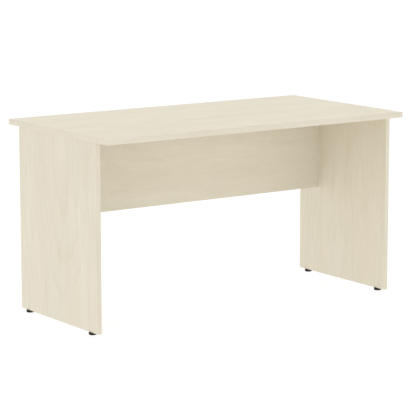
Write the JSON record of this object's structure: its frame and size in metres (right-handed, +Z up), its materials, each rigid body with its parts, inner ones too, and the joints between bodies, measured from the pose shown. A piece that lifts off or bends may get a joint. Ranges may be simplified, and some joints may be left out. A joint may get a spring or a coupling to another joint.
{
  "type": "panel-end table",
  "caption": "Rectangular table with an edge-banded laminate top on two slab ends, tied by an inset modesty panel and standing on screw-adjusted levelling feet.",
  "frame": {"origin": "on the floor under the middle of the table", "axes": "+X along the length to the user's right, +Y from the user's side towards the modesty panel and the back, +Z up"},
  "size_m": [1.409, 0.72, 0.75],
  "materials": {
    "laminate_board": "melamine-faced chipboard, pale maple print, fine satin texture",
    "edge_band": "satin ABS edging in the same pale maple",
    "cover_cap": "pale maple moulded cap",
    "foot_nylon": "black moulded nylon",
    "insert_plastic": "natural moulded plastic",
    "steel": "bright zinc-plated steel",
    "zinc_cam": "die-cast zinc, dull grey",
    "beech_dowel": "bare beech"
  },
  "bodies": {
    "table": {"tabletop": "laminate_board", "top_band_front": "edge_band", "top_band_rear": "edge_band", "top_band_left": "edge_band", "top_band_right": "edge_band", "left_end_panel": "laminate_board", "left_end_band_front": "edge_band", "left_end_band_rear": "edge_band", "left_end_band_bottom": "edge_band", "right_end_panel": "laminate_board", "right_end_band_front": "edge_band", "right_end_band_rear": "edge_band", "right_end_band_bottom": "edge_band", "modesty_panel": "laminate_board", "modesty_band_bottom": "edge_band", "cam_top_left_front": "zinc_cam", "cam_bolt_top_left_front": "steel", "cam_cap_top_left_front": "cover_cap", "dowel_top_left_front": "beech_dowel", "cam_top_left_rear": "zinc_cam", "cam_bolt_top_left_rear": "steel", "cam_cap_top_left_rear": "cover_cap", "dowel_top_left_rear": "beech_dowel", "cam_top_right_front": "zinc_cam", "cam_bolt_top_right_front": "steel", "cam_cap_top_right_front": "cover_cap", "dowel_top_right_front": "beech_dowel", "cam_top_right_rear": "zinc_cam", "cam_bolt_top_right_rear": "steel", "cam_cap_top_right_rear": "cover_cap", "dowel_top_right_rear": "beech_dowel", "cam_modesty_left_upper": "zinc_cam", "cam_bolt_modesty_left_upper": "steel", "cam_cap_modesty_left_upper": "cover_cap", "dowel_modesty_left_upper": "beech_dowel", "cam_modesty_left_lower": "zinc_cam", "cam_bolt_modesty_left_lower": "steel", "cam_cap_modesty_left_lower": "cover_cap", "dowel_modesty_left_lower": "beech_dowel", "cam_modesty_right_upper": "zinc_cam", "cam_bolt_modesty_right_upper": "steel", "cam_cap_modesty_right_upper": "cover_cap", "dowel_modesty_right_upper": "beech_dowel", "cam_modesty_right_lower": "zinc_cam", "cam_bolt_modesty_right_lower": "steel", "cam_cap_modesty_right_lower": "cover_cap", "dowel_modesty_right_lower": "beech_dowel", "foot_insert_front_left": "insert_plastic", "foot_insert_rear_left": "insert_plastic", "foot_insert_front_right": "insert_plastic", "foot_insert_rear_right": "insert_plastic"},
    "stud_front_left": {"foot_stud_front_left": "steel"},
    "base_front_left": {"foot_base_front_left": "foot_nylon"},
    "stud_rear_left": {"foot_stud_rear_left": "steel"},
    "base_rear_left": {"foot_base_rear_left": "foot_nylon"},
    "stud_front_right": {"foot_stud_front_right": "steel"},
    "base_front_right": {"foot_base_front_right": "foot_nylon"},
    "stud_rear_right": {"foot_stud_rear_right": "steel"},
    "base_rear_right": {"foot_base_rear_right": "foot_nylon"}
  },
  "joints": [
    {"name": "foot_height_front_left", "type": "slide", "parent": "table", "child": "stud_front_left", "axis": [0, 0, -1], "range_m": [0, 0.01]},
    {"name": "foot_turn_front_left", "type": "hinge", "parent": "stud_front_left", "child": "base_front_left", "pos_m": [-0.6895, -0.232, 0.005], "axis": [0, 0, -1], "range_deg": [0, 3610]},
    {"name": "foot_height_rear_left", "type": "slide", "parent": "table", "child": "stud_rear_left", "axis": [0, 0, -1], "range_m": [0, 0.01]},
    {"name": "foot_turn_rear_left", "type": "hinge", "parent": "stud_rear_left", "child": "base_rear_left", "pos_m": [-0.6895, 0.232, 0.005], "axis": [0, 0, -1], "range_deg": [0, 3610]},
    {"name": "foot_height_front_right", "type": "slide", "parent": "table", "child": "stud_front_right", "axis": [0, 0, -1], "range_m": [0, 0.01]},
    {"name": "foot_turn_front_right", "type": "hinge", "parent": "stud_front_right", "child": "base_front_right", "pos_m": [0.6895, -0.232, 0.005], "axis": [0, 0, -1], "range_deg": [0, 3610]},
    {"name": "foot_height_rear_right", "type": "slide", "parent": "table", "child": "stud_rear_right", "axis": [0, 0, -1], "range_m": [0, 0.01]},
    {"name": "foot_turn_rear_right", "type": "hinge", "parent": "stud_rear_right", "child": "base_rear_right", "pos_m": [0.6895, 0.232, 0.005], "axis": [0, 0, -1], "range_deg": [0, 3610]}
  ],
  "couplings": [
    {"joint": "foot_turn_front_left", "follows": "foot_height_front_left", "rad_per_m": 6283.2},
    {"joint": "foot_turn_rear_left", "follows": "foot_height_rear_left", "rad_per_m": 6283.2},
    {"joint": "foot_turn_front_right", "follows": "foot_height_front_right", "rad_per_m": 6283.2},
    {"joint": "foot_turn_rear_right", "follows": "foot_height_rear_right", "rad_per_m": 6283.2}
  ]
}
